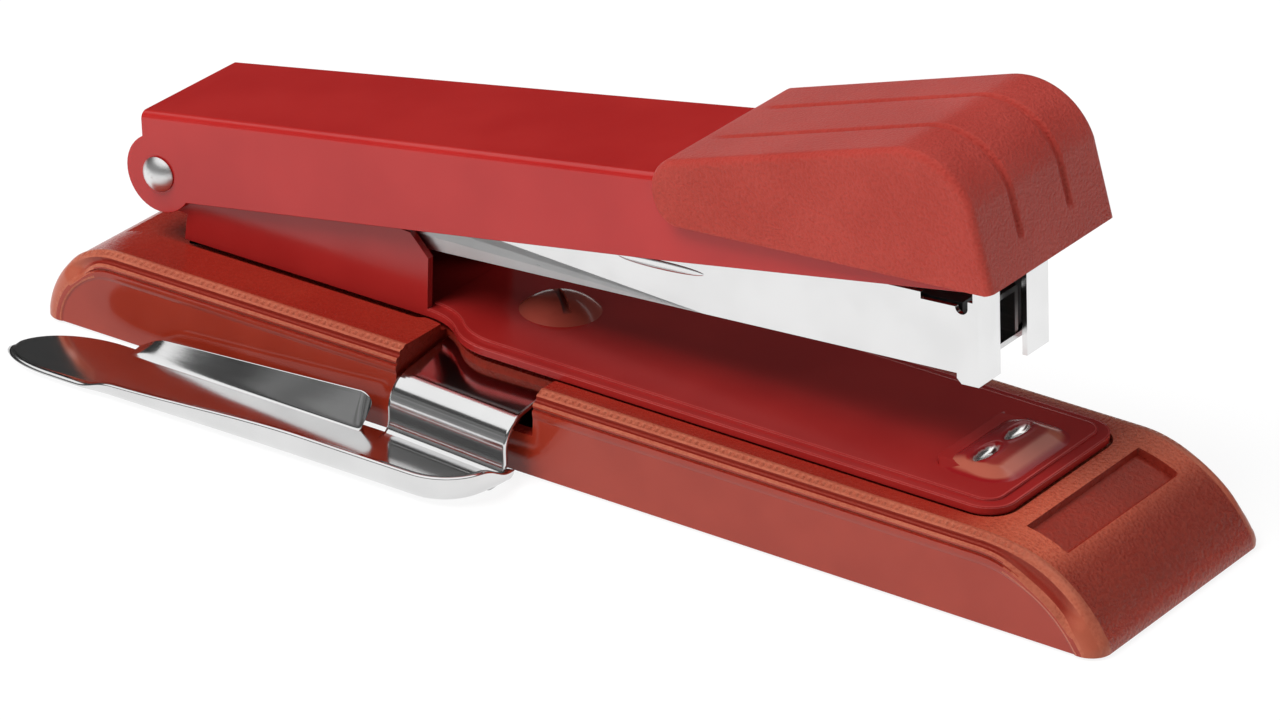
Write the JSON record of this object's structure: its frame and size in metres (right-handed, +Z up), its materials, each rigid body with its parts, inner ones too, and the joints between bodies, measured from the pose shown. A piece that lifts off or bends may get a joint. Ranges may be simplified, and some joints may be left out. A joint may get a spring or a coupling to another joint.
{
  "type": "desk stapler",
  "caption": "Desk stapler with a moulded base, sprung magazine and lever handle on one pivot pin, and a chrome staple remover along one side.",
  "frame": {"origin": "centre of the flat face that rests on the table, on the stapler's middle plane", "axes": "+X forward to the nose, +Y to the side away from the staple remover, +Z up from the table"},
  "size_m": [0.18, 0.0619, 0.064],
  "materials": {
    "base_plastic": "moulded red-brown plastic, leather grain on top, smooth glossy sides",
    "plate_steel": "zinc plated sheet steel",
    "pad_rubber": "black ribbed rubber",
    "frame_paint": "dark glossy red stove enamel, worn bright in the clinch grooves",
    "screw_paint": "red-brown lacquered screw",
    "remover_chrome": "bright chromium plate",
    "spring_steel": "blued spring steel",
    "pin_nickel": "nickel plate with fine scratches",
    "channel_nickel": "bright nickel plated sheet",
    "rail_steel": "bright drawn steel",
    "pusher_plastic": "black moulded plastic",
    "handle_paint": "satin gloss red enamel",
    "cap_plastic": "moulded red plastic with a fine leather grain"
  },
  "bodies": {
    "base": {"base_shell": "base_plastic", "base_plate": "plate_steel", "base_pad": "pad_rubber", "threaded_pillars": "plate_steel", "anvil_frame": "frame_paint", "frame_screw": "screw_paint", "rear_screw": "screw_paint", "staple_remover": "remover_chrome", "lift_spring": "spring_steel", "pivot_pin": "pin_nickel"},
    "magazine": {"magazine_channel": "channel_nickel", "magazine_bush": "rail_steel", "staple_rail": "rail_steel", "rail_rivets": "rail_steel", "guide_rod": "rail_steel", "pusher_spring": "spring_steel"},
    "pusher": {"pusher": "pusher_plastic"},
    "handle": {"handle_lever": "handle_paint", "handle_cap": "cap_plastic", "cap_screws": "rail_steel", "driver_blade": "rail_steel", "driver_rivets": "rail_steel", "handle_spring": "spring_steel"}
  },
  "joints": [
    {"name": "magazine_hinge", "type": "hinge", "parent": "base", "child": "magazine", "pos_m": [-0.0764, 0, 0.0229], "axis": [0, -1, 0], "range_deg": [-4.9, 75], "stiffness_Nm_per_rad": 4, "springref_deg": 1.72, "deforming": ["lift_spring"]},
    {"name": "handle_hinge", "type": "hinge", "parent": "magazine", "child": "handle", "pos_m": [-0.0764, 0, 0.0229], "axis": [0, -1, 0], "range_deg": [-5.4, 75], "stiffness_Nm_per_rad": 3, "springref_deg": 1.43, "deforming": ["handle_spring"]},
    {"name": "pusher_slide", "type": "slide", "parent": "magazine", "child": "pusher", "axis": [0.9974, 0, 0.0715], "range_m": [-0.094, 0], "stiffness_N_per_m": 25, "springref_m": 0.08, "deforming": ["pusher_spring"]}
  ]
}
